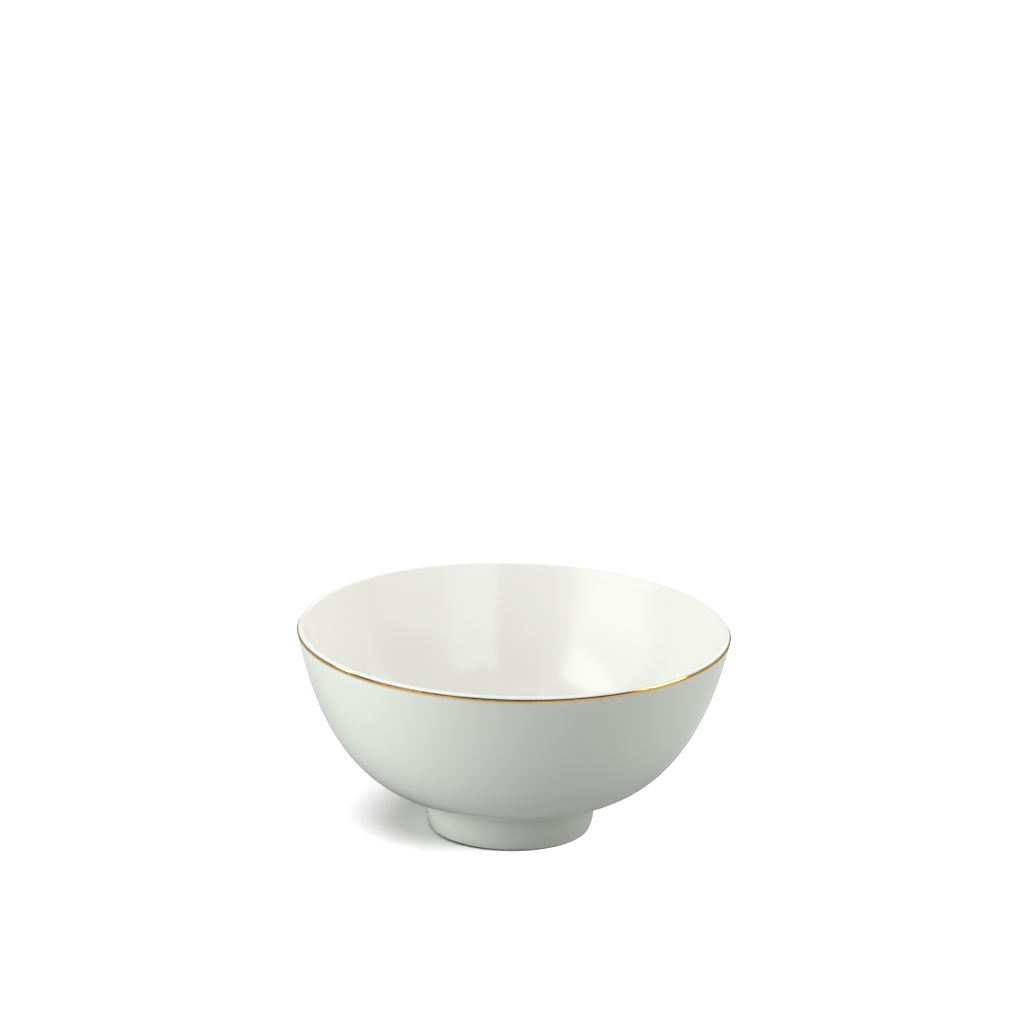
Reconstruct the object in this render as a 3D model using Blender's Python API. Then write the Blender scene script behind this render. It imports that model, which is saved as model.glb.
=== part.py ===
"""A footed porcelain rice bowl, turned about +Z, standing on the XY plane.

The bowl is fired clay in two pieces, a shell and a foot ring luted under it, and everything that is
seen on them is a coat: a gloss glaze inside and over the lip, a satin glaze outside and down the foot,
a gloss glaze in the well under the foot, and a gold line painted where the two glazes meet.
All of it follows from one glazed surface, and each piece lies a stated depth under that surface.
Lengths are in metres. A point of a section is (radius, height).
"""

import math

import bmesh
import bpy
from mathutils import Vector

MM = 0.001

# Overall size, over the glaze
RIM_DIAMETER = 115.0 * MM
BOWL_HEIGHT = 55.4 * MM
FOOT_DIAMETER = 45.2 * MM
FOOT_HEIGHT = 10.1 * MM  # from the table to where the belly meets the foot

# Walls, over the glaze
LIP_THICKNESS = 2.0 * MM
WALL_AT_FOOT = 3.8 * MM
WALL_TAPER = 1.4  # how soon the wall thins on its way up: 1 is evenly
FLOOR_THICKNESS = 4.0 * MM

# The belly's curve, from the foot up to the lip
UNDERSIDE_RISE = math.radians(6.9)  # above level, where the belly leaves the foot
RIM_FLARE = math.radians(11.5)  # out of plumb, just under the lip
UNDERSIDE_REACH = 0.304  # how far each end keeps its direction, as a share of the belly's chord
RIM_REACH = 0.515

# The foot
FOOT_FILLET = 2.2 * MM
FOOT_WALL = 4.6 * MM  # over the glaze, at the ceiling of the well
WELL_DRAFT = math.radians(3.0)
WELL_FILLET = 1.5 * MM
TOE_HEIGHT = 3.3 * MM  # the foot's outer wall draws in below this height
TOE_INSET = 1.2 * MM
TOE_CHAMFER = 0.5 * MM  # on both edges of the bare flat that the bowl stands on
BARE_TOE = 0.7 * MM  # glaze is wiped off the foot below this height

# Coats
GLAZE_THICKNESS = 0.3 * MM
JOINT_GAP = 0.3 * MM  # between pieces that touch on the real bowl
GOLD_WIDTH = 1.0 * MM
GOLD_DROP = 1.15 * MM  # from the crown of the lip down to the middle of the gold line

# Facets
SEGMENTS = 48  # round the bowl
BELLY_STEPS = 10
LIP_STEPS = 3  # from the widest point to the crown, and from the crown to the inside
DISH_STEPS = 4
TOE_STEPS = 3
FILLET_STEPS = 3

# Sizes that follow from those above
RIM_RADIUS = RIM_DIAMETER / 2
FOOT_RADIUS = FOOT_DIAMETER / 2
LIP_RADIUS = LIP_THICKNESS / 2
WELL_RADIUS = FOOT_RADIUS - FOOT_WALL
CORE_DEPTH = GLAZE_THICKNESS + JOINT_GAP  # how far the clay lies under the glazed surface
LIP_CENTRE = Vector((RIM_RADIUS - LIP_RADIUS, BOWL_HEIGHT - LIP_RADIUS))
GOLD_TOP = BOWL_HEIGHT - GOLD_DROP + GOLD_WIDTH / 2
GOLD_BOTTOM = GOLD_TOP - GOLD_WIDTH

# Colours are linear RGB
MATERIALS = {
    "bisque": {"color": (0.78, 0.76, 0.71), "roughness": 0.85, "metallic": 0.0},
    "gloss_glaze": {"color": (0.83, 0.83, 0.79), "roughness": 0.06, "metallic": 0.0},
    "satin_glaze": {"color": (0.58, 0.61, 0.57), "roughness": 0.45, "metallic": 0.0},
    "gold": {"color": (0.83, 0.55, 0.20), "roughness": 0.18, "metallic": 1.0},
}


# Curves of the section


def bezier(points, t):
    """The point at t, and the unit direction there, of a Bezier curve with these control points."""
    rows = [list(points)]
    while len(rows[-1]) > 1:
        row = rows[-1]
        rows.append([a.lerp(b, t) for a, b in zip(row, row[1:])])
    start, end = rows[-2]
    return rows[-1][0], (end - start).normalized()


def belly_controls():
    """Control points of the belly over the glaze, from the foot joint to the foot of the lip's round."""
    out_of_lip = Vector((math.cos(RIM_FLARE), -math.sin(RIM_FLARE)))
    start = Vector((FOOT_RADIUS, FOOT_HEIGHT))
    end = LIP_CENTRE + out_of_lip * LIP_RADIUS
    chord = (end - start).length
    leaving = Vector((math.cos(UNDERSIDE_RISE), math.sin(UNDERSIDE_RISE)))
    arriving = Vector((math.sin(RIM_FLARE), math.cos(RIM_FLARE)))
    return [
        start,
        start + leaving * chord * UNDERSIDE_REACH,
        end - arriving * chord * RIM_REACH,
        end,
    ]


def belly_point(share, depth):
    """A point of the belly, depth under its outer surface. share is 0 at the foot and 1 at the lip."""
    point, along = bezier(belly_controls(), share)
    inwards = Vector((-along.y, along.x))
    return point + inwards * depth


def wall_thickness(share):
    return LIP_THICKNESS + (WALL_AT_FOOT - LIP_THICKNESS) * (1 - share) ** WALL_TAPER


def lip_point(angle, depth):
    """A point of the lip's half round, depth under its surface. The crown is at a quarter turn."""
    return LIP_CENTRE + Vector((math.cos(angle), math.sin(angle))) * (LIP_RADIUS - depth)


def shares(steps):
    return [i / steps for i in range(steps + 1)]


def outer_face(depth):
    """The outside of the bowl from the foot joint up to the crown of the lip."""
    belly = [belly_point(s, depth) for s in shares(BELLY_STEPS)]
    lip = [lip_point(math.pi / 2 * s, depth) for s in shares(LIP_STEPS)]
    return belly + lip


def dish_edge():
    """Where the wall's inside meets the dished floor, over the glaze, and the floor's slope there."""
    edge = belly_point(0, wall_thickness(0))
    next_up = belly_point(1 / BELLY_STEPS, wall_thickness(1 / BELLY_STEPS))
    return edge, (next_up.y - edge.y) / (next_up.x - edge.x)


def floor_height():
    """Height of the middle of the floor, over the glaze: the dish is a parabola that runs into the wall."""
    edge, slope = dish_edge()
    return edge.y - slope * edge.x / 2


def inner_face(depth):
    """The inside of the bowl from the crown of the lip down to the middle of the floor."""
    quarter = math.pi / 2
    lip = [lip_point(quarter + (quarter - RIM_FLARE) * s, depth) for s in shares(LIP_STEPS)[:-1]]
    wall = [belly_point(s, wall_thickness(s) - depth) for s in reversed(shares(BELLY_STEPS))]
    edge, _ = dish_edge()
    middle = floor_height()
    dish = [
        Vector((edge.x * s, middle + (edge.y - middle) * s * s - depth))
        for s in reversed(shares(DISH_STEPS)[:-1])
    ]
    return lip + wall + dish


def between(path, low, high):
    """The stretch of a rising path from height low to height high, with its two ends cut exactly."""
    kept = []
    for a, b in zip(path, path[1:]):
        if b.y <= low or a.y >= high:
            continue
        rise = b.y - a.y
        if not kept:
            kept.append(a.lerp(b, max(low - a.y, 0) / rise))
        kept.append(a.lerp(b, min(high - a.y, rise) / rise))
    return kept


def rounded(before, corner, after):
    """A corner eased into a curve between two points on its sides."""
    return [bezier((before, corner, after), s)[0] for s in shares(FILLET_STEPS)]


def toe_radius(height, depth):
    """Radius of the foot's outer wall at a height, depth under the glaze: an upright wall on a drawn-in toe."""
    drop = min(max((TOE_HEIGHT - height) / TOE_HEIGHT, 0.0), 1.0)
    return FOOT_RADIUS - depth - TOE_INSET * (1 - math.sqrt(1 - drop * drop))


def foot_wall(depth, lowest):
    """The foot's outer wall from the top of its toe down to height lowest."""
    heights = [TOE_HEIGHT + (lowest - TOE_HEIGHT) * s for s in shares(TOE_STEPS)]
    return [Vector((toe_radius(height, depth), height)) for height in heights]


def well_ceiling():
    return floor_height() - FLOOR_THICKNESS


def well_radius(height):
    """Radius of the glazed wall inside the foot, which widens towards the table."""
    return WELL_RADIUS + (well_ceiling() - height) * math.tan(WELL_DRAFT)


def seat_height():
    """Height of the flat under the shell that the foot ring is luted to."""
    return belly_point(0, CORE_DEPTH).y


# Sections of the pieces, each a closed loop of points


def shell_section():
    """The clay of wall and floor. Its underside has a flat seat for the foot ring, round a low boss."""
    outside = outer_face(CORE_DEPTH)
    ceiling = well_ceiling() + CORE_DEPTH
    boss = well_radius(seat_height()) + CORE_DEPTH - JOINT_GAP
    underside = [
        Vector((0, ceiling)),
        Vector((boss, ceiling)),
        Vector((boss, seat_height())),
    ]
    return outside + inner_face(CORE_DEPTH) + underside


def foot_ring_section():
    """The clay ring, luted by its top to the shell's seat, with a bare flat at the bottom."""
    top = seat_height() - JOINT_GAP
    bore_bottom = well_radius(TOE_CHAMFER) + CORE_DEPTH
    outside = foot_wall(CORE_DEPTH, TOE_CHAMFER)
    return [
        Vector((well_radius(top) + CORE_DEPTH, top)),
        Vector((FOOT_RADIUS - CORE_DEPTH, top)),
        *outside,
        Vector((outside[-1].x - TOE_CHAMFER, 0)),
        Vector((bore_bottom + TOE_CHAMFER, 0)),
        Vector((bore_bottom, TOE_CHAMFER)),
    ]


def inside_glaze_section():
    """Gloss glaze over the floor and the inside of the wall, over the lip and down to the gold line."""
    edge = GOLD_TOP + JOINT_GAP
    front = between(outer_face(0), edge, BOWL_HEIGHT) + inner_face(0)[1:]
    back = between(outer_face(GLAZE_THICKNESS), edge, BOWL_HEIGHT - GLAZE_THICKNESS)
    back += inner_face(GLAZE_THICKNESS)[1:]
    return front + back[::-1]


def outside_glaze_section():
    """Satin glaze from the gold line down the belly, round the foot joint and down to the bare toe."""
    edge = GOLD_BOTTOM - JOINT_GAP
    joint = Vector((FOOT_RADIUS, FOOT_HEIGHT))
    face = between(outer_face(0), FOOT_HEIGHT, edge)[1:]
    reach = min(FOOT_FILLET, (face[0] - joint).length / 2, (FOOT_HEIGHT - TOE_HEIGHT) / 2)
    under_belly = joint + (face[0] - joint).normalized() * reach
    fillet = rounded(under_belly, joint, joint - Vector((0, reach)))
    front = face[::-1] + fillet + foot_wall(0, BARE_TOE)
    back = between(outer_face(GLAZE_THICKNESS), belly_point(0, GLAZE_THICKNESS).y, edge)[::-1]
    back.append(Vector((FOOT_RADIUS - GLAZE_THICKNESS, back[-1].y)))
    back += foot_wall(GLAZE_THICKNESS, BARE_TOE)
    return front + back[::-1]


def well_glaze_section():
    """Gloss glaze over the ceiling and the wall of the well inside the foot."""
    ceiling = well_ceiling()
    low = BARE_TOE + JOINT_GAP
    front = [Vector((0, ceiling))]
    front += rounded(
        Vector((WELL_RADIUS - WELL_FILLET, ceiling)),
        Vector((WELL_RADIUS, ceiling)),
        Vector((well_radius(ceiling - WELL_FILLET), ceiling - WELL_FILLET)),
    )
    front.append(Vector((well_radius(low), low)))
    back = [
        Vector((0, ceiling + GLAZE_THICKNESS)),
        Vector((well_radius(ceiling), ceiling + GLAZE_THICKNESS)),
        Vector((well_radius(ceiling) + GLAZE_THICKNESS, ceiling)),
        Vector((well_radius(low) + GLAZE_THICKNESS, low)),
    ]
    return front + back[::-1]


def gold_line_section():
    """The gold, on the outside of the lip between the edges of the two glazes."""
    front = between(outer_face(0), GOLD_BOTTOM, GOLD_TOP)
    back = between(outer_face(GLAZE_THICKNESS), GOLD_BOTTOM, GOLD_TOP)
    return front + back[::-1]


# Objects


def clear_scene():
    for obj in list(bpy.data.objects):
        bpy.data.objects.remove(obj, do_unlink=True)


def principled(name):
    values = MATERIALS[name]
    material = bpy.data.materials.new(name)
    material.use_nodes = True
    shader = material.node_tree.nodes["Principled BSDF"]
    shader.inputs["Base Color"].default_value = (*values["color"], 1.0)
    shader.inputs["Roughness"].default_value = values["roughness"]
    shader.inputs["Metallic"].default_value = values["metallic"]
    material.diffuse_color = (*values["color"], 1.0)
    return material


def turned(name, section, material, parent):
    """The solid that a closed section sweeps when it turns once about the Z axis."""
    mesh = bpy.data.meshes.new(name)
    shape = bmesh.new()
    corners = [shape.verts.new((point.x, 0, point.y)) for point in section]
    on_axis = [point.x < 1e-7 for point in section]
    edges = []
    for i, corner in enumerate(corners):
        following = (i + 1) % len(corners)
        if not (on_axis[i] and on_axis[following]):
            edges.append(shape.edges.new((corner, corners[following])))
    bmesh.ops.spin(
        shape,
        geom=corners + edges,
        cent=(0, 0, 0),
        axis=(0, 0, 1),
        angle=math.tau,
        steps=SEGMENTS,
        use_merge=True,
    )
    bmesh.ops.remove_doubles(shape, verts=shape.verts, dist=1e-6)
    bmesh.ops.recalc_face_normals(shape, faces=shape.faces)
    shape.to_mesh(mesh)
    shape.free()
    mesh.shade_smooth()
    mesh.set_sharp_from_angle(angle=math.radians(35))
    mesh.materials.append(material)
    obj = bpy.data.objects.new(name, mesh)
    obj.parent = parent
    bpy.context.scene.collection.objects.link(obj)
    return obj


def main():
    clear_scene()
    bowl = bpy.data.objects.new("bowl", None)
    bpy.context.scene.collection.objects.link(bowl)
    finish = {name: principled(name) for name in MATERIALS}
    turned("bowl_shell", shell_section(), finish["bisque"], bowl)
    turned("foot_ring", foot_ring_section(), finish["bisque"], bowl)
    turned("inside_gloss_glaze", inside_glaze_section(), finish["gloss_glaze"], bowl)
    turned("outside_satin_glaze", outside_glaze_section(), finish["satin_glaze"], bowl)
    turned("foot_well_glaze", well_glaze_section(), finish["gloss_glaze"], bowl)
    turned("gold_line", gold_line_section(), finish["gold"], bowl)


main()
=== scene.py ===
"""Makes a footed porcelain rice bowl with a gold line under its lip, and a plain studio to stand it in.

The bowl is turned about +Z and stands on the XY plane. Its pieces are the clay shell and the clay foot, the
glaze coats over them and the gold. They all follow from one section of the glazed surface, which the sizes
describe. A point of a section is (radius, height), in metres. A section runs from the foot up the outside,
over the lip and down the inside, so the clay is always to its left.
"""

import math

import bpy
from bpy.props import FloatProperty, FloatVectorProperty, PointerProperty
from mathutils import Matrix, Vector, noise


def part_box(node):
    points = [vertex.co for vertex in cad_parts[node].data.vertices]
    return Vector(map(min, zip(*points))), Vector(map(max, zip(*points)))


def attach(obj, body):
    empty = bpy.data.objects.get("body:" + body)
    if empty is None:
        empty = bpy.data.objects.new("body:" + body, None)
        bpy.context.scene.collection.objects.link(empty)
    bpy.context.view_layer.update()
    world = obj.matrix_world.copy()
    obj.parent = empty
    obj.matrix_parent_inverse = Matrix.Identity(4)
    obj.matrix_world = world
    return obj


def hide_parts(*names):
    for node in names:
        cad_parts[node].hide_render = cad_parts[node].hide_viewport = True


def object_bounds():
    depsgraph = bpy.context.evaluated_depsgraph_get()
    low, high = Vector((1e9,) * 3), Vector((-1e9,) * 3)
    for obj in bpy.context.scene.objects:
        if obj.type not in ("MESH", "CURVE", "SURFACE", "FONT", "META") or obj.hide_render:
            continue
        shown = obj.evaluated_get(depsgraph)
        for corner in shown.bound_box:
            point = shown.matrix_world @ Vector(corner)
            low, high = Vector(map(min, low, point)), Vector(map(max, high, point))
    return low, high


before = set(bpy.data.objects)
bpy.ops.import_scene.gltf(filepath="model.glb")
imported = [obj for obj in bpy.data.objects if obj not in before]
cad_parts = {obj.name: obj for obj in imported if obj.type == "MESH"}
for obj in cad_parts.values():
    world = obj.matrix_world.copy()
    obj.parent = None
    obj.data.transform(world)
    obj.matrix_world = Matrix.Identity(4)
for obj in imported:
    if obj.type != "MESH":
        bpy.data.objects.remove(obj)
CAD_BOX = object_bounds()

bl_info = {
    "name": "Porcelain Rice Bowl",
    "version": (1, 0, 0),
    "blender": (4, 5, 0),
    "location": "3D View > Sidebar > Bowl",
    "description": "Makes a footed porcelain bowl with a gold line, and a plain studio to stand it in",
    "category": "Add Mesh",
}

MM = 0.001
COAT = 0.3 * MM  # a glaze coat's thickness, in the frame and here
FRAME_GAP = 0.3 * MM  # kept in the frame between pieces that touch here
RISE = math.radians(6.9)

# Facets
ROUND_STEPS = 192  # round the bowl
BELLY_STEPS = 72
LIP_STEPS = 12
DISH_STEPS = 28
FILLET_STEPS = 10
TOE_STEPS = 12
GOLD_STEPS = 14
MERGE = 0.001 * MM

# Studio
SOFTBOX_AWAY = 1.1  # from the bowl to its softboxes and panels
ROOM_REACH = 1.6  # from the bowl to the unlit side of the studio
LOOKED_AT = Vector((0, 0, 0.03))
COOL = (0.985, 1.0, 1.02)
WARM = (1.0, 0.985, 0.93)
PANELS = {  # brightness, and the corners as (azimuth, elevation) in degrees
    "inside_left_low": (2.4, ((-144, 2), (-142, 31), (-131, 28), (-97, 8), (-97, 2))),
    "inside_left_high": (4.0, ((-141, 32), (-131, 29), (-100, 37), (-87, 39), (-87, 49), (-137, 50))),
    "inside_left_gap": (1.9, ((-131, 28.5), (-97, 8), (-87, 8), (-87, 38), (-100, 37))),
    "inside_right_low": (1.5, ((137, 4), (136, 31), (131, 28), (97, 8), (97, 4))),
    "inside_right_high": (1.0, ((137, 33), (131, 29), (100, 37), (87, 39), (87, 49), (137, 50))),
    "inside_window": (2.3, ((139, 8), (170, 8), (167, 47), (131, 47))),
}


# Sizes and colours that a user would change


def length(name, description, default):
    return FloatProperty(name=name, description=description, default=default, unit="LENGTH", precision=5)


def angle(name, description, default):
    return FloatProperty(name=name, description=description, default=default, subtype="ANGLE")


def colour(name, description, default):
    return FloatVectorProperty(
        name=name, description=description, default=default, subtype="COLOR", size=3, min=0, max=1
    )


class BowlSizes(bpy.types.PropertyGroup):
    """The section of the glazed surface."""

    rim_radius: length("Rim radius", "Over the gold line", CAD_BOX[1].x)
    height: length("Height", "From the table to the crown of the lip", CAD_BOX[1].z)
    lip_thickness: length("Lip thickness", "The lip is a half round of this width", 2.0 * MM)
    lip_easing: FloatProperty(
        name="Lip easing", description="How much flatter than round the lip's outer side is", default=0.3
    )
    wall_at_foot: length("Wall at the foot", "Thickness of the wall where it meets the floor", 3.8 * MM)
    wall_taper: FloatProperty(
        name="Wall taper", description="How soon the wall thins on its way up; 1 is evenly", default=1.4
    )
    rise: angle("Underside rise", "Slope of the belly where it leaves the foot", RISE)
    flare: angle("Rim flare", "How far out of plumb the wall is under the lip", math.radians(11.5))
    low_reach: FloatProperty(
        name="Underside reach", description="Share of the chord that keeps the foot's slope", default=0.304
    )
    high_reach: FloatProperty(
        name="Rim reach", description="Share of the chord that keeps the rim's flare", default=0.515
    )
    floor: length("Floor", "Height of the middle of the inside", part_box("inside_gloss_glaze")[0].z + COAT)
    foot_radius: length(
        "Foot radius", "Over the glaze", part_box("foot_ring")[1].x + COAT + FRAME_GAP
    )
    foot_height: length(
        "Foot height",
        "From the table to where the belly meets the foot",
        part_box("foot_ring")[1].z + FRAME_GAP - (COAT + FRAME_GAP) * math.cos(RISE),
    )
    foot_fillet: length("Foot fillet", "Reach of the glaze pooled in the foot's joint", 2.0 * MM)
    foot_wall: length("Foot wall", "Over the glaze, at the well's ceiling", 4.6 * MM)
    toe_height: length("Toe height", "The foot draws in below this", 6.0 * MM)
    toe_inset: length("Toe inset", "How far the foot has drawn in at the table", 1.2 * MM)
    toe_chamfer: length("Toe chamfer", "On both edges of the bare flat", 0.5 * MM)
    bare_toe: length("Bare toe", "Height up to which the glaze is wiped off the foot", 0.5 * MM)
    well_ceiling: length(
        "Well ceiling", "Height of the well's ceiling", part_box("foot_well_glaze")[1].z - COAT
    )
    well_draft: angle("Well draft", "How the well widens towards the table", math.radians(3.0))
    well_fillet: length("Well fillet", "Round between the well's ceiling and its wall", 1.8 * MM)
    gold_low: length("Gold, lower edge", "Height of the gold line's lower edge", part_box("gold_line")[0].z)
    gold_high: length("Gold, upper edge", "Height of the gold line's upper edge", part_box("gold_line")[1].z)
    gold_film: length("Gold film", "How far the gold stands off the glaze", 0.1 * MM)
    gold_waver: length("Gold waver", "How far the gold's hand-drawn edges stray", 0.06 * MM)


class BowlColours(bpy.types.PropertyGroup):
    """Base colours of the finishes."""

    gloss: colour("Gloss glaze", "Inside the bowl and in the well under it", (0.860, 0.860, 0.818))
    satin: colour("Satin glaze", "Outside the bowl", (0.672, 0.660, 0.618))
    gold: colour("Gold", "The line under the lip", (0.93, 0.62, 0.20))
    bisque: colour("Bare clay", "The toe of the foot", (0.72, 0.68, 0.60))
    speck: colour("Speck", "Iron specks in the glaze", (0.30, 0.22, 0.14))


class StudioSizes(bpy.types.PropertyGroup):
    """Where the camera stands."""

    distance: length("Camera distance", "From the camera to the middle of the bowl", 1.3)
    aim_height: length("Aim height", "Height of the point that the camera turns about", 30 * MM)
    elevation: angle("Camera elevation", "Above the horizon", math.radians(19.35))
    tilt: angle("Camera tilt", "Upwards, so that the bowl stands low in the frame", math.radians(2.40))
    pan: angle("Camera pan", "To the left", math.radians(0.053))
    roll: angle("Camera roll", "Anticlockwise", math.radians(1.37))
    lens: FloatProperty(name="Lens", description="Focal length on a 36 mm sensor", default=171.4)


# The section


def bezier(points, t):
    """The point at t of a Bezier curve with these control points."""
    while len(points) > 1:
        points = [a.lerp(b, t) for a, b in zip(points, points[1:])]
    return points[0]


def shares(steps):
    return [i / steps for i in range(steps + 1)]


def left_of(direction):
    return Vector((-direction.y, direction.x))


def sunk(path, depth):
    """The path moved into the clay by depth, which is one number or a function of a point."""
    moved = []
    for i, point in enumerate(path):
        along = (path[min(i + 1, len(path) - 1)] - path[max(i - 1, 0)]).normalized()
        by = depth(point) if callable(depth) else depth
        moved.append(point + left_of(along) * by)
        if point.x < MERGE:
            moved[-1].x = 0
    return moved


def lip_centre(s):
    return Vector((s.rim_radius - s.lip_thickness / 2, s.height - s.lip_thickness / 2))


def lip_arc(s, start, end):
    """The half round of the lip between two angles. The crown is at a quarter turn."""
    turns = [start + (end - start) * share for share in shares(LIP_STEPS)]
    return [lip_centre(s) + Vector((math.cos(t), math.sin(t))) * s.lip_thickness / 2 for t in turns]


def belly(s):
    """The outside of the wall, from the foot's joint to the lip's half round."""
    start = Vector((s.foot_radius, s.foot_height))
    end = lip_arc(s, -s.flare, 0)[0]
    chord = (end - start).length
    leaving = Vector((math.cos(s.rise), math.sin(s.rise))) * chord * s.low_reach
    arriving = Vector((math.sin(s.flare), math.cos(s.flare))) * chord * s.high_reach
    controls = [start, start + leaving, end - arriving, end]
    return [bezier(controls, share) for share in shares(BELLY_STEPS)]


def dish(s, wall):
    """The floor, from its middle out to the last point of a wall that comes down to it."""
    level_share, wall_share = 0.45, 0.35
    edge = wall[-1]
    arriving = (wall[-2] - edge).normalized() * edge.x * wall_share
    middle = Vector((0, s.floor))
    controls = [middle, middle + Vector((edge.x * level_share, 0)), edge - arriving, edge]
    return [bezier(controls, share) for share in shares(DISH_STEPS)]


def outside(s):
    """The bowl's outside over the glaze, from the foot's joint up to the crown."""
    plain_share = 0.65  # of the gold line's width, which stays round
    path = belly(s) + lip_arc(s, -s.flare, 0)[1:] + lip_arc(s, 0, math.pi / 2)[1:]
    middle = lip_centre(s)
    low = s.gold_low + plain_share * (s.gold_high - s.gold_low)

    def eased(point):
        share = min(max((point.y - low) / (middle.y - low), 0), 1)
        narrower = s.lip_easing * share * share * (3 - 2 * share)
        return Vector((point.x - (point.x - middle.x) * narrower, point.y))

    return [eased(point) for point in path]


def inside(s):
    """The bowl's inside over the glaze, from the crown down to the middle of the floor."""
    quarter = math.pi / 2
    floor_share = 0.14  # of the belly's outline, under which there is floor and no wall

    def thickness(share):
        return s.lip_thickness + (s.wall_at_foot - s.lip_thickness) * (1 - share) ** s.wall_taper

    outer = belly(s)
    wall = []
    for i, share in enumerate(shares(BELLY_STEPS)):
        if share >= floor_share:
            along = (outer[min(i + 1, BELLY_STEPS)] - outer[i - 1]).normalized()
            wall.append(outer[i] + left_of(along) * thickness(share))
    down = wall[::-1]
    lip = lip_arc(s, quarter, 2 * quarter - s.flare)
    return lip[:-1] + down + dish(s, down)[-2::-1]


def under_gold(s):
    """How far the glaze lies under the section: a film's thickness at the gold line, and 0 elsewhere."""
    ease = 0.4 * MM  # above and below the line

    def depth(point):
        away = max(s.gold_low - point.y, point.y - s.gold_high, 0) / ease
        return s.gold_film * max(1 - away, 0) ** 2

    return depth


def between(path, low, high):
    """The stretch of a rising path from height low to height high."""
    kept = []
    for a, b in zip(path, path[1:]):
        if b.y <= low or a.y >= high:
            continue
        rise = b.y - a.y
        if not kept:
            kept.append(a.lerp(b, max(low - a.y, 0) / rise))
        kept.append(a.lerp(b, min(high - a.y, rise) / rise))
    return kept


def toe(s, height):
    """Radius of the foot's outer wall over the glaze: plumb, and drawn in towards the table."""
    drop = min(max((s.toe_height - height) / s.toe_height, 0), 1)
    return s.foot_radius - s.toe_inset * drop * drop


def foot_outside(s, low, high):
    """The foot's outer wall over the glaze, rising from height low to height high."""
    curved = [low + (s.toe_height - low) * share for share in shares(TOE_STEPS)]
    plumb = [s.toe_height + (high - s.toe_height) * share for share in shares(4)[1:]]
    return [Vector((toe(s, height), height)) for height in curved + plumb]


def well_radius(s, height):
    return s.foot_radius - s.foot_wall + (s.well_ceiling - height) * math.tan(s.well_draft)


def well(s, depth):
    """The well's surface, from the middle of its ceiling out and down to the bare toe."""
    flat_share = 0.85  # of the ceiling, in even rings
    bend_share = 0.6  # of the way up the wall, where it has a ring
    radius = well_radius(s, s.well_ceiling)
    corner = Vector((radius, s.well_ceiling))
    down = s.well_ceiling - s.well_fillet
    round_off = [corner - Vector((s.well_fillet, 0)), corner, Vector((well_radius(s, down), down))]
    bend = s.bare_toe + (down - s.bare_toe) * bend_share
    path = [Vector((radius * share * flat_share, s.well_ceiling)) for share in shares(4)]
    path += [bezier(round_off, share) for share in shares(FILLET_STEPS)]
    path += [Vector((well_radius(s, h), h)) for h in (bend, s.bare_toe)]
    return sunk(path, depth)


def seat_height(s):
    return sunk(outside(s), COAT)[0].y


# Modelling


def spun(name, section):
    """One point is pulled along the section, and the line is spun once about the bowl's axis into a solid.
    A section that starts and ends on the axis stays open there."""
    bpy.ops.object.select_all(action="DESELECT")
    bpy.ops.mesh.primitive_plane_add(size=MM, location=(0, 0, 0))
    piece = bpy.context.object
    piece.name = name
    piece.data.name = name
    bpy.ops.object.mode_set(mode="EDIT")
    bpy.ops.mesh.merge(type="CENTER")
    bpy.ops.transform.translate(value=(section[0].x, 0, section[0].y))
    on_axis = section[0].x < MERGE and section[-1].x < MERGE
    following = section[1:] if on_axis else section[1:] + section[:1]
    for here, there in zip(section, following):
        step = (there.x - here.x, 0, there.y - here.y)
        bpy.ops.mesh.extrude_region_move(TRANSFORM_OT_translate={"value": step})
    bpy.ops.mesh.select_all(action="SELECT")
    bpy.ops.mesh.spin(steps=ROUND_STEPS, angle=math.tau, center=(0, 0, 0), axis=(0, 0, 1))
    bpy.ops.mesh.select_all(action="SELECT")
    bpy.ops.mesh.remove_doubles(threshold=MERGE)
    bpy.ops.mesh.normals_make_consistent(inside=False)
    bpy.ops.object.mode_set(mode="OBJECT")
    bpy.ops.object.shade_smooth_by_angle(angle=math.radians(40))
    return piece


def radius_on(path, height):
    """Radius at a height of a rising path."""
    for a, b in zip(path, path[1:]):
        if a.y <= height <= b.y:
            return a.lerp(b, (height - a.y) / max(b.y - a.y, 1e-9)).x
    return path[0].x if height < path[0].y else path[-1].x


def waver(piece, path, line, reach, amount, turn):
    """Lets a level line on the piece stray up and down as a hand draws it. Points slide along the path's
    surface, less and less up to reach away from the line. turn picks another stretch of the same noise."""
    slow_waves, quick_waves, quick_share = 1.6, 14, 0.35
    for vertex in piece.data.vertices:
        near = 1 - abs(vertex.co.z - line) / reach
        if near <= 0:
            continue
        round_z = math.atan2(vertex.co.y, vertex.co.x)
        around = Vector((math.cos(round_z), math.sin(round_z), turn))
        stray = noise.noise(around * slow_waves) + quick_share * noise.noise(around * quick_waves)
        height = vertex.co.z + stray * amount * near
        radius = math.hypot(vertex.co.x, vertex.co.y)
        new_radius = radius + radius_on(path, height) - radius_on(path, vertex.co.z)
        vertex.co = (vertex.co.x * new_radius / radius, vertex.co.y * new_radius / radius, height)


def keep(piece, material, node):
    """Finishes a piece: its material and its place on the body, and hides the frame's part for the node that
    it stands for.
    """
    piece.data.materials.clear()
    piece.data.materials.append(material)
    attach(piece, "root")
    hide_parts(node)


# Node groups and materials


def new_group(name, inputs, outputs):
    """An empty node group with float sockets, but for the input named Vector. Returns its tree."""
    tree = bpy.data.node_groups.new(name, "ShaderNodeTree")
    for socket, value in inputs.items():
        kind = "NodeSocketVector" if socket == "Vector" else "NodeSocketFloat"
        made = tree.interface.new_socket(socket, in_out="INPUT", socket_type=kind)
        if value is not None:
            made.default_value = value
    for socket in outputs:
        tree.interface.new_socket(socket, in_out="OUTPUT", socket_type="NodeSocketFloat")
    tree.nodes.new("NodeGroupInput")
    tree.nodes.new("NodeGroupOutput")
    return tree


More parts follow.
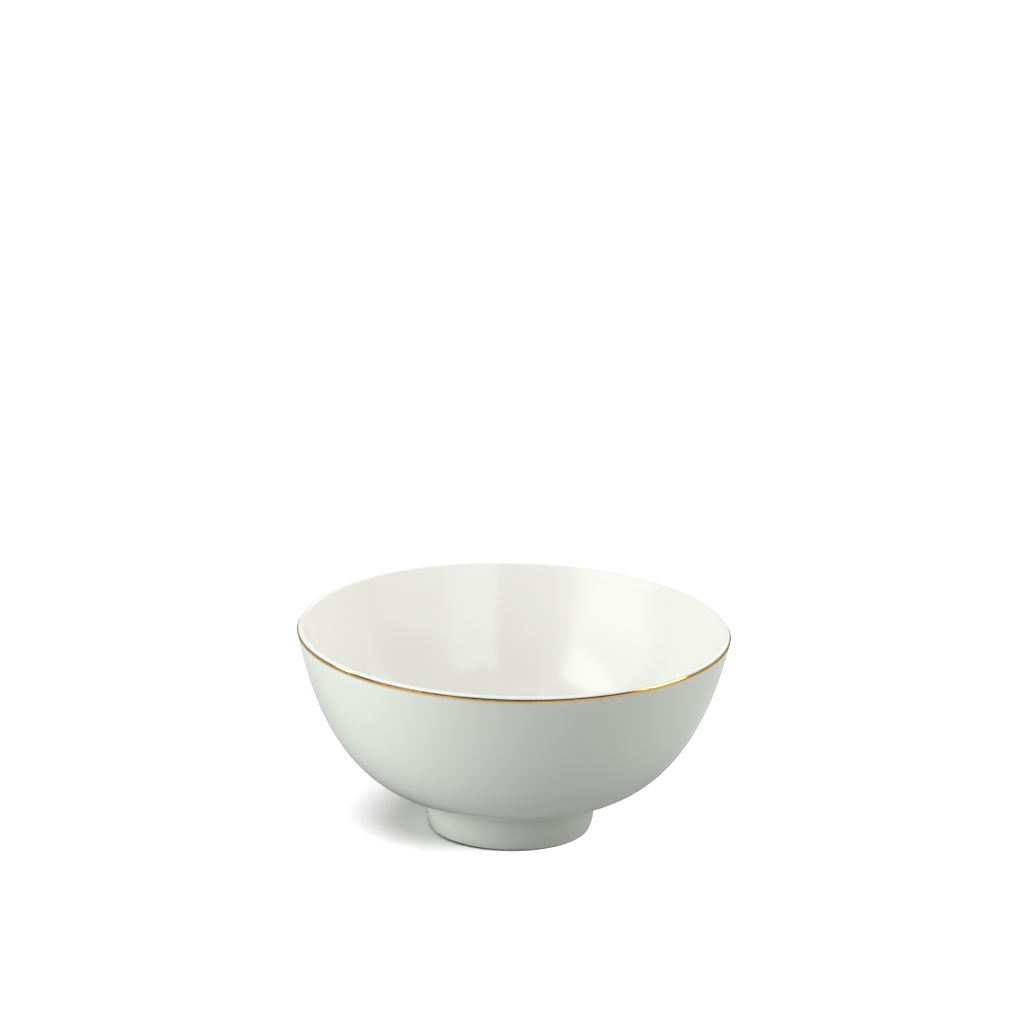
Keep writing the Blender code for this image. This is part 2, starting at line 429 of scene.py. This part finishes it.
def ends(tree):
    """A group's own input and output nodes."""
    return tree.nodes["Group Input"], tree.nodes["Group Output"]


def math_node(tree, operation, first, second=None):
    """Arithmetic on one or two numbers or sockets."""
    node = tree.nodes.new("ShaderNodeMath")
    node.operation = operation
    for socket, value in zip(node.inputs, (first, second)):
        if value is None:
            continue
        if isinstance(value, bpy.types.NodeSocket):
            tree.links.new(value, socket)
        else:
            socket.default_value = value
    return node.outputs[0]


def noise_node(tree, vector, scale, detail, roughness=0.5):
    """A noise field from 0 to 1. scale is a number or a socket."""
    node = tree.nodes.new("ShaderNodeTexNoise")
    node.inputs["Detail"].default_value = detail
    node.inputs["Roughness"].default_value = roughness
    tree.links.new(vector, node.inputs["Vector"])
    if isinstance(scale, bpy.types.NodeSocket):
        tree.links.new(scale, node.inputs["Scale"])
    else:
        node.inputs["Scale"].default_value = scale
    return node.outputs["Fac"]


def range_node(tree, value, low, high, to_low, to_high):
    """Eases from to_low to to_high as the value goes from low to high."""
    node = tree.nodes.new("ShaderNodeMapRange")
    node.interpolation_type = "SMOOTHSTEP"
    tree.links.new(value, node.inputs["Value"])
    names = ("From Min", "From Max", "To Min", "To Max")
    for name, number in zip(names, (low, high, to_low, to_high)):
        if isinstance(number, bpy.types.NodeSocket):
            tree.links.new(number, node.inputs[name])
        else:
            node.inputs[name].default_value = number
    return node.outputs["Result"]


def flow_group():
    """Glaze that ran as it melted: a slow ripple for bump, and clouds of thicker and thinner glaze."""
    inputs = {"Vector": None, "Ripple size": 4 * MM, "Cloud size": 25 * MM}
    tree = new_group("Glaze flow", inputs, ["Ripple", "Cloud"])
    start, end = ends(tree)
    for size, output, detail in (("Ripple size", "Ripple", 1.5), ("Cloud size", "Cloud", 3.0)):
        scale = math_node(tree, "DIVIDE", 1.0, start.outputs[size])
        field = noise_node(tree, start.outputs["Vector"], scale, detail)
        tree.links.new(field, end.inputs[output])
    return tree


def speck_group():
    """Pinholes and iron specks: a few of a field of cells hold one small round spot each."""
    inputs = {"Vector": None, "Spacing": 8 * MM, "Spot size": 0.12 * MM, "Share": 0.3}
    tree = new_group("Kiln specks", inputs, ["Spot"])
    start, end = ends(tree)
    cells = tree.nodes.new("ShaderNodeTexVoronoi")
    cells.feature = "F1"
    tree.links.new(start.outputs["Vector"], cells.inputs["Vector"])
    tree.links.new(math_node(tree, "DIVIDE", 1.0, start.outputs["Spacing"]), cells.inputs["Scale"])
    picker = tree.nodes.new("ShaderNodeSeparateColor")
    tree.links.new(cells.outputs["Color"], picker.inputs["Color"])
    away = math_node(tree, "MULTIPLY", cells.outputs["Distance"], start.outputs["Spacing"])
    size = math_node(tree, "MULTIPLY", start.outputs["Spot size"], picker.outputs["Green"])
    spot = range_node(tree, away, math_node(tree, "MULTIPLY", size, 0.4), size, 1.0, 0.0)
    held = math_node(tree, "LESS_THAN", picker.outputs["Red"], start.outputs["Share"])
    tree.links.new(math_node(tree, "MULTIPLY", spot, held), end.inputs["Spot"])
    return tree


def grain_group():
    """Fine fired grain, for bump and for tone."""
    tree = new_group("Fired grain", {"Vector": None, "Grain size": 0.25 * MM}, ["Grain", "Tone"])
    start, end = ends(tree)
    scale = math_node(tree, "DIVIDE", 1.0, start.outputs["Grain size"])
    tree.links.new(noise_node(tree, start.outputs["Vector"], scale, 4.0, 0.65), end.inputs["Grain"])
    coarse = math_node(tree, "MULTIPLY", scale, 0.12)
    tree.links.new(noise_node(tree, start.outputs["Vector"], coarse, 3.0), end.inputs["Tone"])
    return tree


def level_group():
    """A soft band round the bowl at one height, for thin gold edges and toasting, and for painted light and
    shade.
    """
    inputs = {"Vector": None, "Height": 0.0, "Reach": 1 * MM, "Stray": 0.3 * MM}
    tree = new_group("Level band", inputs, ["Band"])
    start, end = ends(tree)
    split = tree.nodes.new("ShaderNodeSeparateXYZ")
    tree.links.new(start.outputs["Vector"], split.inputs["Vector"])
    field = noise_node(tree, start.outputs["Vector"], 220.0, 3.0)
    stray = math_node(tree, "MULTIPLY", math_node(tree, "SUBTRACT", field, 0.5), start.outputs["Stray"])
    height = math_node(tree, "ADD", split.outputs["Z"], stray)
    away = math_node(tree, "ABSOLUTE", math_node(tree, "SUBTRACT", height, start.outputs["Height"]))
    tree.links.new(range_node(tree, away, 0.0, start.outputs["Reach"], 1.0, 0.0), end.inputs["Band"])
    return tree


GROUPS = {
    "Glaze flow": flow_group,
    "Kiln specks": speck_group,
    "Fired grain": grain_group,
    "Level band": level_group,
}


def place_group(tree, name, vector, **values):
    """Puts a shared group into a material, building it the first time, with this material's own values."""
    node = tree.nodes.new("ShaderNodeGroup")
    node.node_tree = bpy.data.node_groups.get(name) or GROUPS[name]()
    tree.links.new(vector, node.inputs["Vector"])
    for socket, value in values.items():
        node.inputs[socket.replace("_", " ")].default_value = value
    return node


def new_material(name, roughness, metallic=0.0):
    """A material with its shader, and the object's own coordinates."""
    material = bpy.data.materials.new(name)
    material.use_nodes = True
    tree = material.node_tree
    shader = tree.nodes["Principled BSDF"]
    shader.inputs["Roughness"].default_value = roughness
    shader.inputs["Metallic"].default_value = metallic
    vector = tree.nodes.new("ShaderNodeTexCoord").outputs["Object"]
    return material, tree, shader, vector


def blended(tree, factor, first, second):
    """first where factor is 0 and second where it is 1. Each is a colour or a socket."""
    node = tree.nodes.new("ShaderNodeMix")
    node.data_type = "RGBA"
    tree.links.new(factor, node.inputs["Factor"])
    for socket, value in ((node.inputs[6], first), (node.inputs[7], second)):
        if isinstance(value, bpy.types.NodeSocket):
            tree.links.new(value, socket)
        else:
            socket.default_value = (*value, 1)
    return node.outputs[2]


def bumped(tree, shader, height, distance, before=None):
    """Adds bump of that height to the shader's normal, over another bump if there is one."""
    node = tree.nodes.new("ShaderNodeBump")
    node.inputs["Strength"].default_value = 1.0
    node.inputs["Distance"].default_value = distance
    tree.links.new(height, node.inputs["Height"])
    if before is not None:
        tree.links.new(before, node.inputs["Normal"])
    tree.links.new(node.outputs["Normal"], shader.inputs["Normal"])
    return node.outputs["Normal"]


def tinted(colour_value, factors):
    """The colour with each channel times its factor."""
    return tuple(c * f for c, f in zip(colour_value, factors))


def clouded(tree, factor, base, first, second):
    """The base colour under one tint where factor is 0, and under another where it is 1."""
    return blended(tree, factor, tinted(base, first), tinted(base, second))


def band(tree, vector, height, reach, stray, strength=1.0):
    """A level band's strength at each point. It fades over its reach, above its height and below."""
    node = place_group(tree, "Level band", vector, Height=height, Reach=reach, Stray=stray)
    if strength == 1.0:
        return node.outputs["Band"]
    return math_node(tree, "MULTIPLY", node.outputs["Band"], strength)


def speckled(tree, specks, strength, under, speck):
    """Specks of that strength over a colour."""
    return blended(tree, math_node(tree, "MULTIPLY", specks.outputs["Spot"], strength), under, tuple(speck))


def gloss_glaze(c, s):
    """Clear glaze over white porcelain: glassy, hardly rippled, with painted shade a little greyer along the
    lip.
    """
    material, tree, shader, vector = new_material("gloss_glaze", 0.02)
    shader.inputs["IOR"].default_value = 1.5
    flow = place_group(tree, "Glaze flow", vector, Ripple_size=7 * MM, Cloud_size=30 * MM)
    specks = place_group(tree, "Kiln specks", vector, Spacing=7 * MM, Spot_size=0.16 * MM, Share=0.16)
    # Painted shade: a slightly greyer band along the lip.
    lip = band(tree, vector, s.height, 2.2 * MM, 0.3 * MM)
    body = clouded(tree, flow.outputs["Cloud"], c.gloss, (0.985, 0.985, 0.975), (1.015, 1.015, 1.02))
    painted_shading = blended(tree, lip, body, tinted(c.gloss, (0.975, 0.98, 0.99)))
    tree.links.new(speckled(tree, specks, 0.5, painted_shading, c.speck), shader.inputs["Base Color"])
    rippled = bumped(tree, shader, flow.outputs["Ripple"], 0.002 * MM)
    bumped(tree, shader, specks.outputs["Spot"], -0.02 * MM, before=rippled)
    return material


def satin_glaze(c, s):
    """Matte glaze: fine grain, faint clouds, a painted highlight as a pale line at the foot's joint, painted
    shade in a darker band below it, and painted light from the floor that pales it towards its low edge."""
    material, tree, shader, vector = new_material("satin_glaze", 0.5)
    shader.inputs["IOR"].default_value = 1.45
    flow = place_group(tree, "Glaze flow", vector, Ripple_size=5 * MM, Cloud_size=18 * MM)
    grain = place_group(tree, "Fired grain", vector, Grain_size=0.22 * MM)
    specks = place_group(tree, "Kiln specks", vector, Spacing=6 * MM, Spot_size=0.2 * MM, Share=0.22)
    # Painted shade: a darker band on the top of the foot, under the belly's overhang.
    overhang_shade = band(tree, vector, s.foot_height - 2.7 * MM, 3.2 * MM, 0.2 * MM)
    # Painted highlight: a pale line just under the foot's joint.
    joint = band(tree, vector, s.foot_height - 1.2 * MM, 0.7 * MM, 0.0, strength=0.7)
    # Painted light: paler towards the foot's low edge, standing in for light from the white floor.
    edge = band(tree, vector, s.bare_toe, 5 * MM, 0.5 * MM)
    tone = math_node(tree, "MULTIPLY", grain.outputs["Tone"], 0.12)
    body = clouded(tree, flow.outputs["Cloud"], c.satin, (0.975, 0.98, 0.97), (1.025, 1.02, 1.03))
    toned = blended(tree, tone, body, tinted(c.satin, (0.8, 0.8, 0.76)))
    # Painted shade, a painted highlight and painted light from the floor, laid over the glaze's own colour.
    pooled_and_shaded = blended(tree, overhang_shade, toned, tinted(c.satin, (0.70, 0.70, 0.705)))
    joint_highlighted = blended(tree, joint, pooled_and_shaded, tinted(c.satin, (1.12, 1.12, 1.1)))
    painted_shading = blended(tree, edge, joint_highlighted, tinted(c.satin, (1.44, 1.43, 1.42)))
    tree.links.new(speckled(tree, specks, 0.45, painted_shading, c.speck), shader.inputs["Base Color"])
    dullness = range_node(tree, flow.outputs["Cloud"], 0.3, 0.7, 0.46, 0.54)
    tree.links.new(dullness, shader.inputs["Roughness"])
    rippled = bumped(tree, shader, flow.outputs["Ripple"], 0.03 * MM)
    bumped(tree, shader, grain.outputs["Grain"], 0.006 * MM, before=rippled)
    return material


def burnished_gold(c, s):
    """Gold brushed on while the bowl turned: streaks run round it, and its edges are thin and brown."""
    material, tree, shader, vector = new_material("burnished_gold", 0.2, metallic=1.0)
    stretch = tree.nodes.new("ShaderNodeMapping")
    stretch.inputs["Scale"].default_value = (60, 60, 6000)
    tree.links.new(vector, stretch.inputs["Vector"])
    streaks = noise_node(tree, stretch.outputs["Vector"], 1.0, 4.0, 0.6)
    flow = place_group(tree, "Glaze flow", vector, Ripple_size=3 * MM, Cloud_size=9 * MM)
    grain = place_group(tree, "Fired grain", vector, Grain_size=0.15 * MM)
    low = band(tree, vector, s.gold_low, 0.2 * MM, 0.15 * MM)
    high = band(tree, vector, s.gold_high, 0.2 * MM, 0.15 * MM)
    thin = math_node(tree, "MULTIPLY", math_node(tree, "MAXIMUM", low, high), 0.45)
    body = clouded(tree, streaks, c.gold, (0.86, 0.82, 0.74), (1.06, 1.06, 1.1))
    tree.links.new(blended(tree, thin, body, tinted(c.gold, (0.6, 0.5, 0.4))), shader.inputs["Base Color"])
    dullness = range_node(tree, flow.outputs["Cloud"], 0.3, 0.7, 0.07, 0.16)
    tree.links.new(dullness, shader.inputs["Roughness"])
    rippled = bumped(tree, shader, flow.outputs["Ripple"], 0.02 * MM)
    streaked = bumped(tree, shader, streaks, 0.003 * MM, before=rippled)
    bumped(tree, shader, grain.outputs["Grain"], 0.001 * MM, before=streaked)
    return material


def bare_clay(c, s):
    """Unglazed porcelain: dry and grainy, toasted along the glaze's edge, with a painted contact shadow where
    it stands.
    """
    material, tree, shader, vector = new_material("bare_clay", 0.85)
    grain = place_group(tree, "Fired grain", vector, Grain_size=0.3 * MM)
    specks = place_group(tree, "Kiln specks", vector, Spacing=2.5 * MM, Spot_size=0.22 * MM, Share=0.35)
    toast = band(tree, vector, s.bare_toe, 0.5 * MM, 0.3 * MM, strength=0.55)
    # Painted shadow: near black along the bottom, where the foot meets the table.
    contact_shadow = band(tree, vector, 0.0, 0.6 * MM, 0.1 * MM, strength=0.9)
    body = clouded(tree, grain.outputs["Tone"], c.bisque, (0.9, 0.9, 0.88), (1.08, 1.08, 1.08))
    toasted = blended(tree, toast, body, tinted(c.bisque, (0.85, 0.66, 0.48)))
    contact_shaded = blended(tree, contact_shadow, toasted, tinted(c.bisque, (0.12, 0.12, 0.13)))
    tree.links.new(speckled(tree, specks, 0.7, contact_shaded, c.speck), shader.inputs["Base Color"])
    bumped(tree, shader, grain.outputs["Grain"], 0.03 * MM)
    return material


def finish(build):
    """The material that a function builds, made once and shared."""
    scene = bpy.context.scene
    return bpy.data.materials.get(build.__name__) or build(scene.bowl_colours, scene.bowl_sizes)


# Operators, one for each piece


class BOWL_OT_clay_shell(bpy.types.Operator):
    """Clay of the wall and the floor, with a seat under it for the foot"""

    bl_idname = "bowl.clay_shell"
    bl_label = "Clay Shell"

    def execute(self, context):
        s = context.scene.bowl_sizes
        clay = sunk(outside(s) + inside(s)[1:], COAT)
        clearance = 0.04 * MM  # to the foot's bore
        ceiling = s.well_ceiling + COAT
        boss = well_radius(s, ceiling) + COAT - clearance
        underside = [Vector((0, ceiling)), Vector((boss, ceiling)), Vector((boss, clay[0].y))]
        piece = spun("clay_shell", clay[::-1] + underside[::-1])
        keep(piece, finish(bare_clay), "bowl_shell")
        return {"FINISHED"}


class BOWL_OT_clay_foot(bpy.types.Operator):
    """Clay ring luted under the shell, with the bare flat that the bowl stands on"""

    bl_idname = "bowl.clay_foot"
    bl_label = "Clay Foot"

    def execute(self, context):
        s = context.scene.bowl_sizes
        proud = 0.1 * MM  # how far the bare toe lies under the glazed surface
        wall_low = s.toe_chamfer * 0.6

        def under_glaze(point):
            bare = min(max((s.bare_toe + proud - point.y) / proud, 0), 1)
            return COAT + (proud - COAT) * bare

        top = seat_height(s)
        wall = sunk(foot_outside(s, wall_low, top), under_glaze)
        bore_top = Vector((well_radius(s, top) + COAT, top))
        bore_low = Vector((well_radius(s, s.toe_chamfer) + COAT, s.toe_chamfer))
        corner_in = Vector((bore_low.x, 0))
        edge_in = [bore_low, corner_in, corner_in + Vector((s.toe_chamfer, 0))]
        edge_out = [Vector((wall[0].x - s.toe_chamfer, 0)), Vector((wall[0].x - 0.1 * MM, 0)), wall[0]]
        rounds = [bezier(edge, share) for edge in (edge_in, edge_out) for share in shares(5)]
        piece = spun("clay_foot", [bore_top] + rounds + wall[1:])
        keep(piece, finish(bare_clay), "foot_ring")
        return {"FINISHED"}


class BOWL_OT_inside_glaze(bpy.types.Operator):
    """Gloss glaze from the gold line over the lip and down the whole inside"""

    bl_idname = "bowl.inside_glaze"
    bl_label = "Inside Glaze"

    def execute(self, context):
        s = context.scene.bowl_sizes
        glazed = sunk(outside(s) + inside(s)[1:], under_gold(s))
        clay = sunk(outside(s) + inside(s)[1:], COAT)
        crown = len(outside(s))
        seam = (s.gold_low + s.gold_high) / 2
        front = between(glazed[:crown], seam, s.height) + glazed[crown:]
        back = between(clay[:crown], seam, s.height) + clay[crown:]
        piece = spun("inside_glaze", front[::-1] + back)
        keep(piece, finish(gloss_glaze), "inside_gloss_glaze")
        return {"FINISHED"}


class BOWL_OT_outside_glaze(bpy.types.Operator):
    """Satin glaze from the gold line down the belly and the foot, pooled in the joint between them"""

    bl_idname = "bowl.outside_glaze"
    bl_label = "Outside Glaze"

    def execute(self, context):
        s = context.scene.bowl_sizes
        seam = (s.gold_low + s.gold_high) / 2
        glazed = between(sunk(outside(s), under_gold(s)), 0, seam)
        clay = between(sunk(outside(s), COAT), 0, seam)
        joint = glazed[0]
        wall = foot_outside(s, s.bare_toe, joint.y - s.foot_fillet)
        past = next(i for i, point in enumerate(glazed) if (point - joint).length > s.foot_fillet)
        pooled_and_shaded = [bezier([wall[-1], joint, glazed[past]], share) for share in shares(FILLET_STEPS)]
        front = wall[:-1] + pooled_and_shaded + glazed[past + 1:]
        inner_wall = sunk(foot_outside(s, s.bare_toe, clay[0].y), COAT)
        drip = Vector((0, 0.12 * MM))
        hanging = wall[0].lerp(inner_wall[0], 0.5) - drip
        bead = bezier([wall[0], hanging, inner_wall[0]], 0.5)
        piece = spun("outside_glaze", front + clay[::-1] + inner_wall[::-1] + [bead])
        waver(piece, foot_outside(s, 0, joint.y), s.bare_toe, 0.8 * MM, 0.18 * MM, 4.0)
        keep(piece, finish(satin_glaze), "outside_satin_glaze")
        return {"FINISHED"}


class BOWL_OT_well_glaze(bpy.types.Operator):
    """Gloss glaze on the ceiling and the wall of the well inside the foot"""

    bl_idname = "bowl.well_glaze"
    bl_label = "Well Glaze"

    def execute(self, context):
        s = context.scene.bowl_sizes
        piece = spun("well_glaze", well(s, 0) + well(s, COAT)[::-1])
        keep(piece, finish(gloss_glaze), "foot_well_glaze")
        return {"FINISHED"}


class BOWL_OT_gold_line(bpy.types.Operator):
    """Gold drawn by hand round the outside of the lip, over the seam of the two glazes"""

    bl_idname = "bowl.gold_line"
    bl_label = "Gold Line"

    def execute(self, context):
        s = context.scene.bowl_sizes
        back_depth = 1.5 * s.gold_film
        path = outside(s)
        width = s.gold_high - s.gold_low
        middle = s.gold_low + width / 2
        heights = [s.gold_low + width * share for share in shares(GOLD_STEPS)]
        front = [Vector((radius_on(path, height), height)) for height in heights]
        rounded = [
            point - Vector((s.gold_film * ((point.y - middle) / width * 2) ** 2, 0)) for point in front
        ]
        back = [point - Vector((back_depth, 0)) for point in front]
        piece = spun("gold_band", rounded + back[::-1])
        waver(piece, path, s.gold_high, width / 2, s.gold_waver, 0.0)
        waver(piece, path, s.gold_low, width / 2, s.gold_waver, 9.0)
        keep(piece, finish(burnished_gold), "gold_line")
        return {"FINISHED"}


# The studio


def toward(azimuth, elevation):
    """Direction from the bowl, in degrees: azimuth 0 is the far side, 90 the right; elevation is up."""
    turn, rise = math.radians(azimuth), math.radians(elevation)
    return Vector((math.sin(turn) * math.cos(rise), math.cos(turn) * math.cos(rise), math.sin(rise)))


def only(name, pieces):
    """A group of pieces that lights can be kept to."""
    group = bpy.data.collections.get(name) or bpy.data.collections.new(name)
    for piece in pieces:
        group.objects.link(bpy.data.objects[piece])
    return group


def add_lamp(name, lamp, place, facing, group):
    """Hangs a lamp that lights only the group's pieces and that the camera can't see."""
    lamp_object = bpy.data.objects.new(name, lamp)
    lamp_object.location = place
    lamp_object.rotation_euler = facing.to_track_quat("-Z", "Y").to_euler()
    lamp_object.visible_camera = False
    lamp_object.light_linking.receiver_collection = group
    bpy.context.scene.collection.objects.link(lamp_object)
    return lamp_object


def softbox(name, azimuth, elevation, width, height, brightness, group, tint=(1, 1, 1), mirrored=True):
    """A rectangular softbox that covers so many degrees, as seen from the bowl. Unless it is mirrored, it
    throws light but doesn't show in gloss."""
    lamp = bpy.data.lights.new(name, "AREA")
    lamp.shape = "RECTANGLE"
    lamp.size = 2 * SOFTBOX_AWAY * math.tan(math.radians(width / 2))
    lamp.size_y = 2 * SOFTBOX_AWAY * math.tan(math.radians(height / 2))
    lamp.energy = math.pi * lamp.size * lamp.size_y * brightness
    lamp.color = tint
    way = toward(azimuth, elevation)
    lamp_object = add_lamp(name, lamp, way * SOFTBOX_AWAY + LOOKED_AT, -way, group)
    lamp_object.visible_glossy = mirrored


def sky(name, azimuth, elevation, spread, brightness, group):
    """Light from a round patch of sky, bright enough to give white paper that brightness."""
    lamp = bpy.data.lights.new(name, "SUN")
    lamp.angle = math.radians(spread)
    lamp.energy = math.pi * brightness / math.sin(math.radians(elevation))
    add_lamp(name, lamp, LOOKED_AT, -toward(azimuth, elevation), group)


def glowing(name, corners, brightness, group):
    """A glowing panel whose corners are (azimuth, elevation). It shows in gloss only, as straight edges."""
    bpy.ops.object.select_all(action="DESELECT")
    bpy.ops.mesh.primitive_circle_add(vertices=len(corners), fill_type="NGON")
    board = bpy.context.object
    board.name = name
    for vertex, corner in zip(board.data.vertices, corners):
        vertex.co = toward(*corner) * SOFTBOX_AWAY + LOOKED_AT
    material = bpy.data.materials.new(name)
    material.use_nodes = True
    shader = material.node_tree.nodes["Principled BSDF"]
    shader.inputs["Base Color"].default_value = (0, 0, 0, 1)
    shader.inputs["Emission Color"].default_value = (*COOL, 1)
    shader.inputs["Emission Strength"].default_value = brightness
    material.cycles.emission_sampling = "NONE"
    board.data.materials.append(material)
    board.visible_camera = False
    board.visible_diffuse = False
    board.visible_shadow = False
    board.light_linking.receiver_collection = group


def camera(studio):
    """The camera, from its elevation over the bowl and its small tilt, pan and roll."""
    data = bpy.data.cameras.new("camera")
    data.lens = studio.lens
    data.sensor_width = 36
    data.clip_start = 0.05
    stand = bpy.data.objects.new("camera", data)
    back = Vector((0, -math.cos(studio.elevation), math.sin(studio.elevation)))
    place = Vector((0, 0, studio.aim_height)) + back * studio.distance
    level = math.pi / 2 - studio.elevation + studio.tilt
    pan = Matrix.Rotation(studio.pan, 4, "Z")
    roll = Matrix.Rotation(studio.roll, 4, "Z")
    stand.matrix_world = Matrix.Translation(place) @ pan @ Matrix.Rotation(level, 4, "X") @ roll
    bpy.context.scene.collection.objects.link(stand)
    bpy.context.scene.camera = stand


def unlit(name, tone, corners):
    """A dark board that shows in gloss only."""
    bpy.ops.object.select_all(action="DESELECT")
    bpy.ops.mesh.primitive_plane_add(size=1)
    board = bpy.context.object
    board.name = name
    for vertex, corner in zip(board.data.vertices, corners):
        vertex.co = corner
    material, _, shader, _ = new_material(name, 1.0)
    shader.inputs["Base Color"].default_value = (*tone, 1)
    board.data.materials.append(material)
    board.visible_camera = False
    board.visible_diffuse = False
    board.visible_shadow = False


def dark_side():
    """The unlit side of the studio, round the camera."""
    corners = [(-152, 0), (168, 0), (-152, 60), (168, 60)]
    places = [toward(*corner) * ROOM_REACH + LOOKED_AT for corner in corners]
    unlit("dark_side", (0.02, 0.02, 0.02), places)


def dark_floor():
    """The unlit stretch of floor before the camera. It starts a little before the bowl."""
    start = 0.125
    above = Vector((0, 0, 0.1 * MM))
    corners = [(-157, start), (170, start), (-152, ROOM_REACH), (168, ROOM_REACH)]
    places = [toward(azimuth, 0) * away + above for azimuth, away in corners]
    unlit("dark_floor", (0.05, 0.045, 0.04), places)


def card(name, azimuth, away, width, depth, brightness, group):
    """A white card lying on the floor, which throws light up at the foot."""
    lamp = bpy.data.lights.new(name, "AREA")
    lamp.shape = "RECTANGLE"
    lamp.size = width
    lamp.size_y = depth
    lamp.energy = math.pi * width * depth * brightness
    above = Vector((0, 0, 0.2 * MM))
    add_lamp(name, lamp, toward(azimuth, 0) * away + above, Vector((0, 0, 1)), group)


def seen_and_bounced(tree, seen, bounced):
    """A grey that the camera sees as one value and the light bounces off as another."""
    path = tree.nodes.new("ShaderNodeLightPath")
    return blended(tree, path.outputs["Is Camera Ray"], (bounced,) * 3, (seen,) * 3)


def lay_floor():
    """A sheet of white paper."""
    bpy.ops.object.select_all(action="DESELECT")
    bpy.ops.mesh.primitive_plane_add(size=8, location=(0, 0, 0))
    floor = bpy.context.object
    floor.name = "floor"
    paper, tree, shader, _ = new_material("floor_paper", 0.9)
    shader.inputs["Specular IOR Level"].default_value = 0
    tree.links.new(seen_and_bounced(tree, 0.9, 0.26), shader.inputs["Base Color"])
    floor.data.materials.append(paper)


def hang_sky():
    """The white of the studio's walls."""
    world = bpy.data.worlds.new("studio")
    world.use_nodes = True
    tree = world.node_tree
    background = tree.nodes["Background"]
    tree.links.new(seen_and_bounced(tree, 1.0, 0.25), background.inputs["Color"])
    bpy.context.scene.world = world


class BOWL_OT_studio(bpy.types.Operator):
    """Pale floor, soft lights and the camera"""

    bl_idname = "bowl.studio"
    bl_label = "Studio"

    def execute(self, context):
        lay_floor()
        hang_sky()
        paper = only("lit_paper", ["floor"])
        sky("paper_high_left", -95, 78, 50, 1.2, paper)
        sky("paper_low_right", 112, 20, 40, 1.1, paper)
        sky("paper_low_left", -60, 25, 40, 0.24, paper)
        outside = only("lit_outside", ["outside_glaze", "gold_band", "clay_shell"])
        softbox("outside_left", -120, 24, 28, 46, 7.15, outside)
        softbox("outside_left_edge", -90, 23, 28, 15, 6.05, outside)
        softbox("outside_right", 94, 24, 28, 46, 4.35, outside, WARM)
        inside = only("lit_inside", ["inside_glaze", "well_glaze"])
        sky("inside_dome", 0, 90, 179, 0.50, inside)
        for name, (brightness, corners) in PANELS.items():
            glowing(name, corners, brightness, inside)
        softbox("inside_left", -115, 30, 46, 44, 2.1, inside, COOL, mirrored=False)
        softbox("inside_right", 117, 27, 42, 42, 0.8, inside, COOL, mirrored=False)
        softbox("inside_back_right", 50, 30, 60, 40, 1.1, inside, WARM)
        card("outside_front_card", 180, 0.028, 0.05, 0.008, 0.09, outside)
        dark_side()
        dark_floor()
        context.scene.view_settings.view_transform = "Standard"
        camera(context.scene.studio_sizes)
        return {"FINISHED"}


class BOWL_PT_maker(bpy.types.Panel):
    """Makes the bowl piece by piece"""

    bl_label = "Porcelain Bowl"
    bl_space_type = "VIEW_3D"
    bl_region_type = "UI"
    bl_category = "Bowl"

    def draw(self, context):
        for maker in MAKERS:
            self.layout.operator(maker.bl_idname)
        for settings in SETTINGS:
            group = getattr(context.scene, settings)
            box = self.layout.box()
            for name in group.bl_rna.properties.keys():
                if name not in ("rna_type", "name"):
                    box.prop(group, name)


MAKERS = (
    BOWL_OT_clay_shell,
    BOWL_OT_clay_foot,
    BOWL_OT_inside_glaze,
    BOWL_OT_outside_glaze,
    BOWL_OT_well_glaze,
    BOWL_OT_gold_line,
    BOWL_OT_studio,
)
SETTINGS = {"bowl_sizes": BowlSizes, "bowl_colours": BowlColours, "studio_sizes": StudioSizes}


def register():
    for kind in (*SETTINGS.values(), *MAKERS, BOWL_PT_maker):
        bpy.utils.register_class(kind)
    for name, kind in SETTINGS.items():
        setattr(bpy.types.Scene, name, PointerProperty(type=kind))


def unregister():
    for name in SETTINGS:
        delattr(bpy.types.Scene, name)
    for kind in (BOWL_PT_maker, *reversed(MAKERS), *SETTINGS.values()):
        bpy.utils.unregister_class(kind)


def main():
    register()
    bpy.ops.bowl.clay_shell()
    bpy.ops.bowl.clay_foot()
    bpy.ops.bowl.inside_glaze()
    bpy.ops.bowl.outside_glaze()
    bpy.ops.bowl.well_glaze()
    bpy.ops.bowl.gold_line()
    bpy.ops.bowl.studio()


if __name__ == "__main__":
    main()
